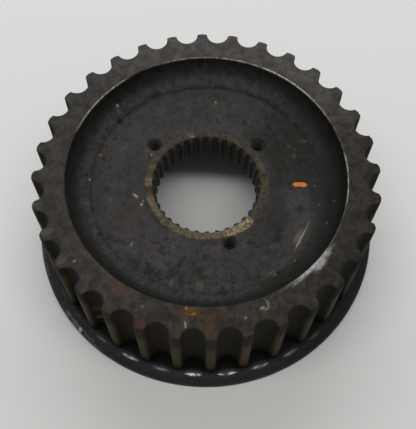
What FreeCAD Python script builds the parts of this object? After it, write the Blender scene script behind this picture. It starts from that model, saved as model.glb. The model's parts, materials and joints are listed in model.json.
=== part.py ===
"""Timing belt pulley, 32 teeth of 14 mm pitch, with a splined hub and one pressed guide flange.

Row frame: millimetres, Z along the axle, front face up. The origin is on the axle, in the plane
that the flange's skirt rests on. The first tooth groove is centred on +X.
"""
import FreeCAD, Part
import os

import Sketcher

SIZES = {
    # belt teeth
    "tooth_count": "32",
    "belt_pitch": "14",
    "pitch_line_offset": "1.397",
    "tooth_length": "44",
    "groove_depth": "5.43",
    "groove_radius": "4.7",
    "tooth_corner_radius": "1.5",
    "tooth_end_chamfer": "1",
    # front recess and web
    "rim_wall": "8.17",
    "recess_lip_chamfer": "0.4",
    "recess_land": "0.3",
    "cove_radius": "8.8",
    "web_thickness": "13",
    # rear recess of the rim
    "rear_rim_wall": "9.47",
    "recess_fillet": "4",
    # spigot that carries the flange, and the lip rolled over it
    "spigot_step": "3.47",
    "lip_flare": "1",
    "lip_height": "1.5",
    "stake_count": "16",
    "stake_radius": "1.5",
    "stake_depth": "0.7",
    # pressed flange
    "flange_rise": "4.7",
    "flange_thickness": "2",
    "flange_height": "5.7",
    "flange_bend_radius": "3.6",
    # splined hub
    "spline_count": "33",
    "spline_minor_radius": "21",
    "spline_depth": "1.15",
    "spline_flank_angle": "30",
    "spline_turn": "7.5",
    "bore_chamfer": "1.5",
    "boss_wall": "2.05",
    "boss_height": "2",
    "boss_chamfer": "1",
    # tapped holes for the lock plate's screws
    "screw_to_spline": "3.7",
    "tap_drill_diameter": "5.1",
    "tap_depth": "10",
    "tap_mouth_chamfer": "0.65",
    "screw_angle_a": "44",
    "screw_angle_b": "144",
    "screw_angle_c": "293",
    # weld that closes the joint between hub and rim
    "weld_leg": "2",
    "weld_crown_radius": "3.2",
}

# Sizes that follow from the ones above. Heights are measured up from the flange's skirt.
DERIVED = {
    "tip_radius": "<tooth_count> * <belt_pitch> / (2 * pi) - <pitch_line_offset>",
    "groove_root": "<tip_radius> - <groove_depth>",
    "lip_radius": "<groove_root> - <rim_wall>",
    "joint_radius": "<lip_radius> - <cove_radius>",
    "rear_radius": "<groove_root> - <rear_rim_wall>",
    "spigot_radius": "<groove_root> - <spigot_step>",
    "flare_radius": "<spigot_radius> + <lip_flare>",
    "flange_radius": "<tip_radius> + <flange_rise>",
    "spline_major_radius": "<spline_minor_radius> + <spline_depth>",
    "bore_mouth_radius": "<spline_minor_radius> + <bore_chamfer>",
    "tap_drill_radius": "<tap_drill_diameter> / 2",
    "screw_circle_radius": "<spline_major_radius> + <screw_to_spline> + <tap_drill_radius>",
    "boss_radius": "<screw_circle_radius> + <tap_drill_radius> + <boss_wall>",
    "front": "<flange_height> + <tooth_length>",
    "cove_top": "<front> - <recess_lip_chamfer> - <recess_land>",
    "web_front": "<cove_top> - <cove_radius>",
    "web_back": "<web_front> - <web_thickness>",
    "boss_back": "<web_back> - <boss_height>",
    "flange_back": "<flange_height> - <flange_thickness>",
    "lip_back": "<flange_back> - <lip_height>",
}

LEFT, RIGHT = 1, -1

doc = FreeCAD.newDocument("timing_belt_pulley")
sheet = doc.addObject("Spreadsheet::Sheet", "sizes")
for row, (alias, number) in enumerate(SIZES.items(), start=1):
    sheet.set(f"A{row}", alias)
    sheet.set(f"B{row}", number)
    sheet.setAlias(f"B{row}", alias)
doc.recompute()


def sized(text):
    """Replace each <name> in an expression by its cell of the sheet, or by the sum it stands for."""
    while "<" in text:
        name = text[text.index("<") + 1:text.index(">")]
        text = text.replace(f"<{name}>", f"({DERIVED[name]})" if name in DERIVED else f"sizes.{name}")
    return text


def value(text):
    """Give the number that an expression stands for."""
    return float(sheet.evalExpression(sized(text)))


def add_body(name):
    """Start one sub-part, whose label names its file."""
    body = doc.addObject("PartDesign::Body", name)
    body.Label = name
    body.Placement = FreeCAD.Placement()
    return body


def add_sketch(body, name, plane_role, height="0", turn="0"):
    """Attach a sketch to one of the body's own planes, raised and turned about the axle."""
    plane = next(item for item in body.Origin.OriginFeatures if item.Role == plane_role)
    sketch = body.newObject("Sketcher::SketchObject", name)
    sketch.AttachmentSupport = [(plane, "")]
    sketch.MapMode = "FlatFace"
    up = FreeCAD.Vector(0, 0, 1)
    sketch.AttachmentOffset = FreeCAD.Placement(up * value(height), FreeCAD.Rotation(up, value(turn)))
    sketch.setExpression("AttachmentOffset.Base.z", sized(height))
    sketch.setExpression("AttachmentOffset.Rotation.Angle", sized(turn))
    return sketch


def bind(sketch, kind, *rest):
    """Add one constraint whose size follows an expression."""
    index = sketch.addConstraint(Sketcher.Constraint(kind, *rest[:-1], value(rest[-1])))
    sketch.setExpression(f"Constraints[{index}]", sized(rest[-1]))


def arc_through(start, end, radius, side):
    """Arc from start to end, with its centre on the left or right of the way it runs."""
    chord = end - start
    reach = max(radius ** 2 - chord.Length ** 2 / 4, 0) ** 0.5
    across = FreeCAD.Vector(-chord.y, chord.x, 0).normalize()
    centre = (start + end) / 2 + across * reach * side
    first, last = (start, end) if side == LEFT else (end, start)
    angles = [FreeCAD.Vector(1, 0, 0).getAngle(point - centre) * (1 if point.y >= centre.y else -1)
              for point in (first, last)]
    return Part.ArcOfCircle(Part.Circle(centre, FreeCAD.Vector(0, 0, 1), radius), *angles)


def draw_outline(sketch, corners):
    """Draw a closed outline. Each corner gives two coordinates, and may give the arc that follows."""
    places = [FreeCAD.Vector(value(corner[0]), value(corner[1]), 0) for corner in corners]
    heads, tails = [], []
    for number, corner in enumerate(corners):
        start, end = places[number], places[(number + 1) % len(places)]
        if len(corner) == 2:
            sketch.addGeometry(Part.LineSegment(start, end))
            heads.append(1)
        else:
            radius, side = corner[2:]
            sketch.addGeometry(arc_through(start, end, value(radius), side))
            heads.append(1 if side == LEFT else 2)
            bind(sketch, "Radius", number, radius)
        tails.append(3 - heads[-1])
    for number, corner in enumerate(corners):
        before = number - 1 if number else len(corners) - 1
        sketch.addConstraint(Sketcher.Constraint("Coincident", before, tails[before], number, heads[number]))
        bind(sketch, "DistanceX", number, heads[number], corner[0])
        bind(sketch, "DistanceY", number, heads[number], corner[1])


def draw_circle(sketch, number, across, up, radius):
    """Draw one circle in a sketch, as its geometry of that number."""
    centre = FreeCAD.Vector(value(across), value(up), 0)
    sketch.addGeometry(Part.Circle(centre, FreeCAD.Vector(0, 0, 1), value(radius)))
    bind(sketch, "DistanceX", number, 3, across)
    bind(sketch, "DistanceY", number, 3, up)
    bind(sketch, "Radius", number, radius)


def revolve(body, name, corners):
    """Turn a section, given as radius and height, about the axle."""
    sketch = add_sketch(body, f"{name}_section", "XZ_Plane")
    draw_outline(sketch, corners)
    turned = body.newObject("PartDesign::Revolution", name)
    turned.Profile = sketch
    turned.ReferenceAxis = (sketch, ["V_Axis"])
    turned.Angle = 360
    body.Tip = turned
    doc.recompute()


def finish_cut(body, feature, volume_before):
    """Make a cut the body's last feature, and stop if it took nothing away."""
    body.Tip = feature
    doc.recompute()
    if not body.Shape.Volume < volume_before:
        raise RuntimeError(f"{feature.Name} cut nothing")


def cut_upward(body, name, sketch, depth=None):
    """Cut a sketch upward into the body, to a depth or all the way through."""
    before = body.Shape.Volume
    pocket = body.newObject("PartDesign::Pocket", name)
    pocket.Profile = sketch
    pocket.Reversed = True
    if depth:
        pocket.setExpression("Length", sized(depth))
    else:
        pocket.Type = "ThroughAll"
    finish_cut(body, pocket, before)
    return pocket


def repeat_round(body, name, feature, sketch, count):
    """Repeat a cut evenly round the axle."""
    before = body.Shape.Volume
    pattern = body.newObject("PartDesign::PolarPattern", name)
    pattern.Originals = [feature]
    pattern.Axis = (sketch, ["N_Axis"])
    pattern.Angle = 360
    pattern.setExpression("Occurrences", sized(count))
    finish_cut(body, pattern, before)


def groove_outline():
    """Outline of one belt groove on +X: a round bottom that flows into both tooth corners."""
    centre = "(<groove_root> + <groove_radius>)"
    reach = "(<tip_radius> - <tooth_corner_radius>)"
    link = "(<groove_radius> + <tooth_corner_radius>)"
    corner_x = f"(({reach}^2 - {link}^2 + {centre}^2) / (2 * {centre}))"
    corner_y = f"sqrt({reach}^2 - {corner_x}^2)"
    flank_x = f"({centre} + ({corner_x} - {centre}) * <groove_radius> / {link})"
    flank_y = f"({corner_y} * <groove_radius> / {link})"
    edge_x = f"({corner_x} * <tip_radius> / {reach})"
    edge_y = f"({corner_y} * <tip_radius> / {reach})"
    outside = "(<tip_radius> + <tooth_corner_radius>)"
    return [(edge_x, edge_y, "<tooth_corner_radius>", RIGHT),
            (flank_x, flank_y, "<groove_radius>", LEFT),
            (flank_x, f"-{flank_y}", "<tooth_corner_radius>", RIGHT),
            (edge_x, f"-{edge_y}"), (outside, f"-{edge_y}"), (outside, edge_y)]


def make_toothed_rim():
    """Toothed ring with the cove of the front recess, a rear recess and the flange's spigot."""
    body = add_body("toothed_rim")
    revolve(body, "rim_blank", [
        ("<joint_radius>", "<web_front>", "<cove_radius>", LEFT),
        ("<lip_radius>", "<cove_top>"),
        ("<lip_radius>", "<front> - <recess_lip_chamfer>"),
        ("<lip_radius> + <recess_lip_chamfer>", "<front>"),
        ("<tip_radius> - <tooth_end_chamfer>", "<front>"),
        ("<tip_radius>", "<front> - <tooth_end_chamfer>"),
        ("<tip_radius>", "<flange_height>"),
        ("<spigot_radius>", "<flange_height>"),
        ("<spigot_radius>", "<flange_back> + <lip_flare>"),
        ("<flare_radius>", "<flange_back>"),
        ("<flare_radius>", "<flange_back> - <lip_height> / 3"),
        ("<spigot_radius>", "<lip_back>"),
        ("<rear_radius>", "<lip_back>"),
        ("<rear_radius>", "<web_back> - <recess_fillet>", "<recess_fillet>", LEFT),
        ("<rear_radius> - <recess_fillet>", "<web_back>"),
        ("<joint_radius> + <weld_leg>", "<web_back>"),
        ("<joint_radius>", "<web_back> + <weld_leg>"),
    ])
    groove = add_sketch(body, "belt_groove_outline", "XY_Plane", "<flange_height>")
    draw_outline(groove, groove_outline())
    first_groove = cut_upward(body, "belt_groove", groove)
    repeat_round(body, "belt_grooves", first_groove, groove, "<tooth_count>")
    stake = add_sketch(body, "stake_mark_outline", "XY_Plane", "<lip_back>")
    draw_circle(stake, 0, "<spigot_radius>", "0", "<stake_radius>")
    first_stake = cut_upward(body, "stake_mark", stake, "<stake_depth>")
    repeat_round(body, "stake_marks", first_stake, stake, "<stake_count>")
    return body


def make_splined_hub():
    """Web disc with a low boss behind it, an internal spline and three tapped holes."""
    body = add_body("splined_hub")
    revolve(body, "hub_blank", [
        ("<bore_mouth_radius>", "<web_front>"),
        ("<spline_minor_radius>", "<web_front> - <bore_chamfer>"),
        ("<spline_minor_radius>", "<boss_back> + <bore_chamfer>"),
        ("<bore_mouth_radius>", "<boss_back>"),
        ("<boss_radius> - <boss_chamfer>", "<boss_back>"),
        ("<boss_radius>", "<boss_back> + <boss_chamfer>"),
        ("<boss_radius>", "<web_back>"),
        ("<joint_radius> - <weld_leg>", "<web_back>"),
        ("<joint_radius>", "<web_back> + <weld_leg>"),
        ("<joint_radius>", "<web_front>"),
    ])
    cut_spline(body)
    drill_tapped_holes(body)
    return body


def cut_spline(body):
    """Cut the spaces of a straight-sided spline, widest at the bore."""
    middle = "((<spline_minor_radius> + <spline_major_radius>) / 2)"
    half_space = f"({middle} * pi / (2 * <spline_count>))"
    rise = "(<spline_depth> / 2 * tan(<spline_flank_angle>))"
    wide, narrow = f"({half_space} + 2 * {rise})", f"({half_space} - {rise})"
    inner = "(<spline_minor_radius> - <spline_depth> / 2)"
    outer = "<spline_major_radius>"
    space = add_sketch(body, "spline_space_outline", "XY_Plane", turn="<spline_turn>")
    draw_outline(space, [(inner, f"-{wide}"), (outer, f"-{narrow}"), (outer, narrow), (inner, wide)])
    first_space = cut_upward(body, "spline_space", space)
    repeat_round(body, "spline_spaces", first_space, space, "<spline_count>")


def drill_tapped_holes(body):
    """Drill the three tapped holes, unevenly spaced round the bore, down from the web's face."""
    holes = add_sketch(body, "tapped_hole_centres", "XY_Plane", "<web_front>")
    for number, letter in enumerate("abc"):
        turn = f"<screw_angle_{letter}>"
        across, up = (f"<screw_circle_radius> * {side}({turn})" for side in ("cos", "sin"))
        draw_circle(holes, number, across, up, "<tap_drill_radius>")
    doc.recompute()
    before = body.Shape.Volume
    drilled = body.newObject("PartDesign::Hole", "tapped_holes")
    drilled.Profile = holes
    doc.recompute()
    drilled.DepthType = "Dimension"
    drilled.DrillPoint = "Angled"
    drilled.HoleCutType = "Countersink"
    drilled.HoleCutCountersinkAngle = 90
    drilled.setExpression("Diameter", sized("<tap_drill_diameter>"))
    drilled.setExpression("Depth", sized("<tap_depth>"))
    drilled.setExpression("HoleCutDiameter", sized("<tap_drill_diameter> + 2 * <tap_mouth_chamfer>"))
    finish_cut(body, drilled, before)


def make_hub_weld():
    """Ring of weld metal in the groove behind the joint between hub and rim."""
    body = add_body("hub_weld")
    revolve(body, "weld_ring", [
        ("<joint_radius> - <weld_leg>", "<web_back>", "<weld_crown_radius>", LEFT),
        ("<joint_radius> + <weld_leg>", "<web_back>"),
        ("<joint_radius>", "<web_back> + <weld_leg>"),
    ])
    return body


def make_rear_flange():
    """Pressed guide flange, whose edge is turned away from the belt into a short skirt."""
    body = add_body("rear_flange")
    inner = "<flange_radius> - <flange_thickness>"
    bend_start = "<flange_radius> - <flange_bend_radius>"
    bend_end = "<flange_height> - <flange_bend_radius>"
    revolve(body, "flange_pressing", [
        ("<spigot_radius>", "<flange_height>"),
        (bend_start, "<flange_height>", "<flange_bend_radius>", RIGHT),
        ("<flange_radius>", bend_end),
        ("<flange_radius>", "0"),
        (inner, "0"),
        (inner, bend_end, "<flange_bend_radius> - <flange_thickness>", LEFT),
        (bend_start, "<flange_back>"),
        ("<flare_radius>", "<flange_back>"),
        ("<spigot_radius>", "<flange_back> + <lip_flare>"),
    ])
    return body


def check_and_export(bodies):
    """Stop on any failed feature or bad solid, then write one file for each sub-part."""
    for item in doc.Objects:
        if "Invalid" in item.State or "Error" in item.State:
            raise RuntimeError(f"{item.Name} failed: {item.State}")
    for body in bodies:
        shape = body.Shape
        if shape.isNull() or not shape.isValid() or len(shape.Solids) != 1:
            raise RuntimeError(f"{body.Label} is not one valid solid")
    os.makedirs("parts", exist_ok=True)
    for body in bodies:
        body.Shape.exportStep(f"parts/{body.Label}.step")
        print(f"{body.Label}: {body.Shape.Volume:.1f} mm3")


sub_parts = [make_toothed_rim(), make_splined_hub(), make_hub_weld(), make_rear_flange()]
doc.recompute()
check_and_export(sub_parts)
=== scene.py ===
"""Looks of a used timing belt pulley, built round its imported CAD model.

The pulley has four pieces: the toothed rim, the splined hub inside it, the weld that holds the hub,
and the guide flange that is staked on behind. Each is modelled here at its CAD node's own size, with
the rounded edges, threads, weld ripples and wear that the CAD model leaves out. Shapes are in metres.
The marks in the finishes are placed by their distance from the axle in millimetres and their angle in
degrees, seen from the front, from +X towards +Y.
"""

import json
import math
from functools import reduce
from operator import or_

import bmesh
import bpy
from bpy.props import FloatProperty, FloatVectorProperty, IntProperty, PointerProperty
from mathutils import Matrix, Vector


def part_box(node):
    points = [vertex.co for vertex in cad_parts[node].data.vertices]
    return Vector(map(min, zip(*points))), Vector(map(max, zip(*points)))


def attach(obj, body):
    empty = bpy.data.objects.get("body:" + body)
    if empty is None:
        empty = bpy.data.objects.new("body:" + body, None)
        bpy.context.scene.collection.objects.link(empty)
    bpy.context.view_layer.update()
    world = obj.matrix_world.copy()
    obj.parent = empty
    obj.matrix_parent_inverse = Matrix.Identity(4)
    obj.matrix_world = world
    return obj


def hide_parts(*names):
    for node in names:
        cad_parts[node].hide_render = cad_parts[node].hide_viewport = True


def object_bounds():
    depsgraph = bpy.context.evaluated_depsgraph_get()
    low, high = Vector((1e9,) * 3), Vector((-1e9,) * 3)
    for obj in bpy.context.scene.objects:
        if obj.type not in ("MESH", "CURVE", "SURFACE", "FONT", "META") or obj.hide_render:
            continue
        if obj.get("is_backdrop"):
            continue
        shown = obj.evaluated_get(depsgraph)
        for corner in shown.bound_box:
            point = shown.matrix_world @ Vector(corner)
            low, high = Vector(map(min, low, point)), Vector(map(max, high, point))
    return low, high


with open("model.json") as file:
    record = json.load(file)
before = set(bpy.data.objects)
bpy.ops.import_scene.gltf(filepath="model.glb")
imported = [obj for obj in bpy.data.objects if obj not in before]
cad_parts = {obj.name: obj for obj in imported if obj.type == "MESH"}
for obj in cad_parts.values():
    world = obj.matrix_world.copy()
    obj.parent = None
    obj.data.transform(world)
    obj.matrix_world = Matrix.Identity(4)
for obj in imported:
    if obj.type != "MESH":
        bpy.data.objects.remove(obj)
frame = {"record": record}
cad_low, cad_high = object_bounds()

bl_info = {
    "name": "Timing belt pulley",
    "version": (1, 0, 0),
    "blender": (4, 5, 0),
    "location": "3D View > Sidebar > Pulley",
    "description": "Models and finishes a worn timing belt pulley round its CAD frame",
    "category": "Object",
}

MM = 0.001
DEG = math.pi / 180
FULL_TURN = 2 * math.pi
AXLE = (0, 0, -1)  # the spin operator turns anticlockwise about this
JOIN_GAP = 0.002 * MM
ANGLE_SLACK = 1e-4  # in radians
SHARP_EDGE = 32 * DEG  # edges that turn by more are rounded
CREASE = 28 * DEG  # edges that turn by more are shown sharp
FLANGE_STEPS = 320
TAP_STEPS = 32
BLACK = (0, 0, 0)
RELIEF = 0.05 * MM  # how far a layer of height 1 stands up
SPOT_REACH = 4  # how far a spot's gradient runs, in half sizes of the spot
FIRST_COLOUR, SECOND_COLOUR, MIXED_COLOUR = 6, 7, 2  # sockets of a Mix node

rim_low, rim_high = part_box("toothed_rim")
hub_low, hub_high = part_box("splined_hub")
weld_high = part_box("hub_weld")[1]
flange_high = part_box("rear_flange")[1]
mounts = {mount["name"]: mount for mount in frame["record"]["mounts"]}
lock_screws = [mount for name, mount in mounts.items() if name.startswith("lock_screw")]

# places in millimetres, for the finishes
JOINT = hub_high.x / MM
RIM_FRONT = rim_high.z / MM
HUB_FRONT = hub_high.z / MM
FLANGE_TOP = flange_high.z / MM


# ---------------------------------------------------------------- sizes and colours

def a_length(name, description, millimetres):
    """A setting that is a length."""
    return FloatProperty(name=name, description=description, default=millimetres * MM, unit="LENGTH")


def a_colour(name, description, default):
    """A setting that is a colour."""
    return FloatVectorProperty(name=name, description=description, default=default, subtype="COLOR")


class RimSizes(bpy.types.PropertyGroup):
    """Sizes of the toothed rim."""

    teeth: IntProperty(name="Teeth", description="Number of belt teeth", default=32, min=8)
    pitch: a_length("Belt pitch", "Tooth spacing along the pitch line", 14)
    pitch_line: a_length("Pitch line", "Height of the belt's pitch line over the tooth tips", 1.397)
    groove_depth: a_length("Groove depth", "Depth of a belt groove below the tips", 5.43)
    groove_radius: a_length("Groove radius", "Radius of a groove's round bottom", 4.7)
    tooth_corner: a_length("Tooth corner", "Radius on the corners of a tooth", 1.5)
    tooth_chamfer: a_length("Tooth chamfer", "Chamfer on the front ends of the teeth", 1)
    cove: a_length("Cove", "Radius between the web and the recess wall", 8.8)
    lip_land: a_length("Lip land", "Straight wall at the mouth of the recess", 0.3)
    lip_chamfer: a_length("Lip chamfer", "Chamfer at the mouth of the recess", 0.4)
    rear_wall: a_length("Rear wall", "Thickness of the rim round the rear recess", 9.47)
    rear_fillet: a_length("Rear fillet", "Radius in the bottom of the rear recess", 4)
    web: a_length("Web", "Thickness of the web", 13)
    spigot_step: a_length("Spigot step", "Step from the groove bottoms to the flange's seat", 3.47)
    flare: a_length("Lip flare", "How far the rolled lip spreads over the flange", 1)
    stakes: IntProperty(name="Stakes", description="Punch marks round the rolled lip", default=16, min=4)
    stake_depth: a_length("Stake depth", "Depth of a punch mark", 0.7)
    stake_reach: a_length("Stake reach", "Radius of a punch mark", 1.9)
    eased: a_length("Eased edges", "How far the sharp edges are rounded", 0.22)
    unevenness: a_length("Unevenness", "How far the surface is out of true", 0.14)
    patch: a_length("Patch", "Size of the patches that are out of true", 3.5)


class HubSizes(bpy.types.PropertyGroup):
    """Sizes of the splined hub."""

    splines: IntProperty(name="Splines", description="Spline spaces in the bore", default=33, min=8)
    spline_depth: a_length("Spline depth", "Depth of a spline space", 1.15)
    space_mouth: a_length("Space mouth", "Width of a spline space at the lands", 2.72)
    space_floor: a_length("Space floor", "Width of a spline space at its bottom", 1.4)
    spline_turn: FloatProperty(
        name="Spline turn", description="Angle of the first spline space", default=7.5 * DEG,
        unit="ROTATION")
    bore_chamfer: a_length("Bore chamfer", "Chamfer at both ends of the bore", 1.5)
    boss_radius: a_length("Boss radius", "Radius of the raised boss behind", 33)
    boss_height: a_length("Boss height", "Height of the boss over the web's back", 2)
    boss_chamfer: a_length("Boss chamfer", "Chamfer round the boss", 1)
    weld_groove: a_length("Weld groove", "Depth of the groove that the weld fills", 2)
    tap_chamfer: a_length("Tap chamfer", "Countersink on a tapped hole", 0.65)
    thread_pitch: a_length("Thread pitch", "Pitch of the tapped threads", 1.27)
    thread_depth: a_length("Thread depth", "Depth of the tapped threads", 0.6)
    eased: a_length("Eased edges", "How far the sharp edges are rounded", 0.16)


class WeldSizes(bpy.types.PropertyGroup):
    """Sizes of the weld bead behind the web."""

    leg: a_length("Leg", "Half of the bead's width", 2)
    crown: a_length("Crown", "Radius of the bead's crown", 3.2)
    ripples: IntProperty(name="Ripples", description="Ripples round the bead", default=190, min=20)
    ripple_height: a_length("Ripple height", "Height of a ripple", 0.16)
    unevenness: a_length("Unevenness", "How far the bead is out of true", 0.35)
    patch: a_length("Patch", "Size of the patches that are out of true", 4)


class FlangeSizes(bpy.types.PropertyGroup):
    """Sizes of the pressed guide flange."""

    thickness: a_length("Thickness", "Sheet thickness", 2)
    bend: a_length("Bend", "Outer radius of the bend into the skirt", 3.6)
    eased: a_length("Eased edges", "How far the sharp edges are rounded", 0.3)
    unevenness: a_length("Unevenness", "How far the sheet is out of true", 0.12)
    patch: a_length("Patch", "Size of the patches that are out of true", 14)


class Colours(bpy.types.PropertyGroup):
    """Colours of the finishes and the stage."""

    rim: a_colour("Rim steel", "Bare dark steel of the rim", (0.0305, 0.0278, 0.0264))
    hub: a_colour("Hub steel", "Oily dark steel of the web", (0.0282, 0.0271, 0.0266))
    flange: a_colour("Flange black", "Black oxide of the flange", (0.0168, 0.0184, 0.0206))
    weld: a_colour("Weld scale", "Scale on the weld", (0.034, 0.032, 0.033))
    # this colour also serves as painted shade in the grooves, on the tooth lands and on the flange
    grime_and_shade: a_colour("Grime", "Oil and belt dust in hollows", (0.005, 0.005, 0.0042))
    # this colour also serves as painted highlight on the recess lip and the flange
    worn_and_glint: a_colour("Worn steel", "Steel rubbed bright", (0.29, 0.28, 0.265))
    brass: a_colour("Golden stain", "Golden brown fretting stain", (0.138, 0.106, 0.060))
    olive: a_colour("Belt polish", "Olive film that the belt leaves", (0.034, 0.0262, 0.0095))
    rust: a_colour("Rust", "Fresh rust", (0.16, 0.062, 0.018))
    paint: a_colour("Paint", "Chip of orange paint", (0.56, 0.16, 0.033))
    floor: a_colour("Floor", "Pale studio floor", (0.74, 0.74, 0.73))


class StageSettings(bpy.types.PropertyGroup):
    """Camera and lights."""

    camera_place: FloatVectorProperty(
        name="Camera", description="Where the camera stands", default=(0.009287, -0.144003, 0.309693),
        subtype="TRANSLATION", unit="LENGTH", precision=6)
    camera_aim: FloatVectorProperty(
        name="Aim", description="Point that the camera looks at", default=(0.000565, 0.005165, 0.0),
        subtype="TRANSLATION", unit="LENGTH", precision=6)
    camera_roll: FloatProperty(
        name="Roll", description="Turn of the camera about its line of sight", default=0.78 * DEG,
        unit="ROTATION")
    lens: FloatProperty(name="Lens", description="Focal length in millimetres", default=62.45)
    strip_power: FloatProperty(
        name="Strip light", description="Power of the long light overhead", default=5.1, unit="POWER")
    fill_power: FloatProperty(
        name="Back fill", description="Power of the broad light behind", default=6.6, unit="POWER")
    room: FloatProperty(
        name="Room light", description="Level of the soft light from all round", default=0.212, min=0)
    floor_lit: a_length("Lit floor", "How far from the axle the floor shows its light and shade", 300)
    floor_plain: a_length("Plain floor", "How far out the floor runs into the plain backdrop", 1300)


# ---------------------------------------------------------------- modelling

def select_where(piece, test):
    """Selects the vertices whose place passes the test, and what lies between them."""
    bpy.ops.mesh.select_all(action="DESELECT")
    shape = bmesh.from_edit_mesh(piece.data)
    for vertex in shape.verts:
        vertex.select = test(vertex.co)
    shape.select_flush(True)
    bmesh.update_edit_mesh(piece.data)


def away_from_axle(place):
    """Distance of a place from the axle."""
    return math.hypot(place[0], place[1])


def turned_by(place):
    """Angle of a place round the axle, from 0 to a full turn."""
    return math.atan2(place[1], place[0]) % FULL_TURN


class Section:
    """The section of a turned piece, drawn from point to point in the plane of X and Z."""

    def __init__(self, name, radius, height):
        bpy.ops.object.select_all(action="DESELECT")
        bpy.ops.mesh.primitive_plane_add(size=MM, location=(radius, 0, height))
        bpy.ops.object.transform_apply(location=True)
        self.piece = bpy.context.object
        self.piece.name = self.piece.data.name = name
        self.radius, self.height = radius, height
        bpy.ops.object.mode_set(mode="EDIT")
        bpy.ops.mesh.select_all(action="SELECT")
        bpy.ops.mesh.merge(type="CENTER")

    def line(self, *points):
        """Goes straight to each point in turn."""
        for radius, height in points:
            step = (radius - self.radius, 0, height - self.height)
            bpy.ops.mesh.extrude_region_move(TRANSFORM_OT_translate={"value": step})
            self.radius, self.height = radius, height

    def arc(self, centre_radius, centre_height, angle, steps):
        """Goes round a centre, anticlockwise where the angle is above 0."""
        bpy.ops.mesh.spin(
            steps=steps, angle=abs(angle), center=(centre_radius, 0, centre_height),
            axis=(0, math.copysign(1, angle), 0))
        across, up = self.radius - centre_radius, self.height - centre_height
        self.radius = centre_radius + across * math.cos(angle) - up * math.sin(angle)
        self.height = centre_height + across * math.sin(angle) + up * math.cos(angle)


def steps_between(start, end, count):
    """Values that divide the way from start to end into count steps, without the start."""
    return [start + (end - start) * step / count for step in range(1, count + 1)]


def spin_all(steps, angle, copies=False):
    """Turns all of the mesh about the axle, as a swept surface or as copies."""
    bpy.ops.mesh.select_all(action="SELECT")
    bpy.ops.mesh.spin(steps=steps, angle=angle, center=(0, 0, 0), axis=AXLE, dupli=copies)


def join_up():
    """Joins the points that lie together and turns every face outwards."""
    bpy.ops.mesh.select_all(action="SELECT")
    bpy.ops.mesh.remove_doubles(threshold=JOIN_GAP)
    bpy.ops.mesh.normals_make_consistent(inside=False)


def revolve(steps):
    """Turns the section into a whole ring."""
    spin_all(steps, FULL_TURN)
    join_up()


def copy_round(count):
    """Repeats the sector that has been made all round the axle."""
    spin_all(count - 1, FULL_TURN * (count - 1) / count, copies=True)
    join_up()


def sweep_sector(piece, outline, rows):
    """Sweeps a section along an outline of (angle, radius) points.

    Each of the rows is (test, radius limit): the vertices that pass the test follow the outline, but no
    further out than the limit. The other vertices turn about the axle at their own radius.
    """
    angle_now, radius_now = outline[0]
    bpy.ops.mesh.select_all(action="SELECT")
    for angle, radius in outline[1:]:
        bpy.ops.mesh.spin(steps=1, angle=angle - angle_now, center=(0, 0, 0), axis=AXLE)
        for test, limit in rows:
            select_where(piece, lambda place: at_angle(place, angle) and test(place))
            scale = min(radius, limit) / min(radius_now, limit)
            bpy.ops.transform.resize(value=(scale, scale, 1), center_override=(0, 0, 0))
        select_where(piece, lambda place: at_angle(place, angle))
        angle_now, radius_now = angle, radius


def at_angle(place, angle):
    """True for a place in the plane through the axle that stands at the angle."""
    return abs((turned_by(place) - angle + math.pi) % FULL_TURN - math.pi) < ANGLE_SLACK


def modify(piece, kind, **settings):
    """Adds a modifier with these settings and applies it."""
    bpy.ops.object.modifier_add(type=kind)
    modifier = piece.modifiers[-1]
    for name, value in settings.items():
        setattr(modifier, name, value)
    bpy.ops.object.modifier_apply(modifier=modifier.name)


def ease_edges(piece, width, spared=math.inf):
    """Rounds the sharp edges as handling and wear do, but not those at the spared radius."""
    bpy.ops.object.mode_set(mode="EDIT")
    bpy.ops.mesh.select_mode(type="EDGE")
    bpy.ops.mesh.select_all(action="DESELECT")
    bpy.ops.mesh.edges_select_sharp(sharpness=SHARP_EDGE)
    shape = bmesh.from_edit_mesh(piece.data)
    for edge in shape.edges:
        if all(abs(away_from_axle(end.co) - spared) < JOIN_GAP for end in edge.verts):
            edge.select = False
    bmesh.update_edit_mesh(piece.data)
    bpy.ops.transform.edge_bevelweight(value=1)
    bpy.ops.mesh.select_mode(type="VERT")
    bpy.ops.object.mode_set(mode="OBJECT")
    modify(piece, "BEVEL", width=width, segments=2, limit_method="WEIGHT")


def roughen(piece, depth, size):
    """Puts the surface slightly out of true, in patches of about the given size."""
    texture = bpy.data.textures.new(f"{piece.name}_unevenness", "CLOUDS")
    texture.noise_scale = size
    modify(piece, "DISPLACE", texture=texture, texture_coords="LOCAL", strength=depth, mid_level=0.5)


def hand_over(piece, node, finish):
    """Gives a finished mesh its material and puts it in its CAD node's place."""
    bpy.ops.object.shade_smooth_by_angle(angle=CREASE)
    piece.data.materials.clear()
    piece.data.materials.append(finish)
    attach(piece, "root")
    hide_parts(node)


# ---------------------------------------------------------------- pieces

def tip_radius(sizes):
    """Radius of the tooth tips."""
    return sizes.teeth * sizes.pitch / FULL_TURN - sizes.pitch_line


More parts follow.
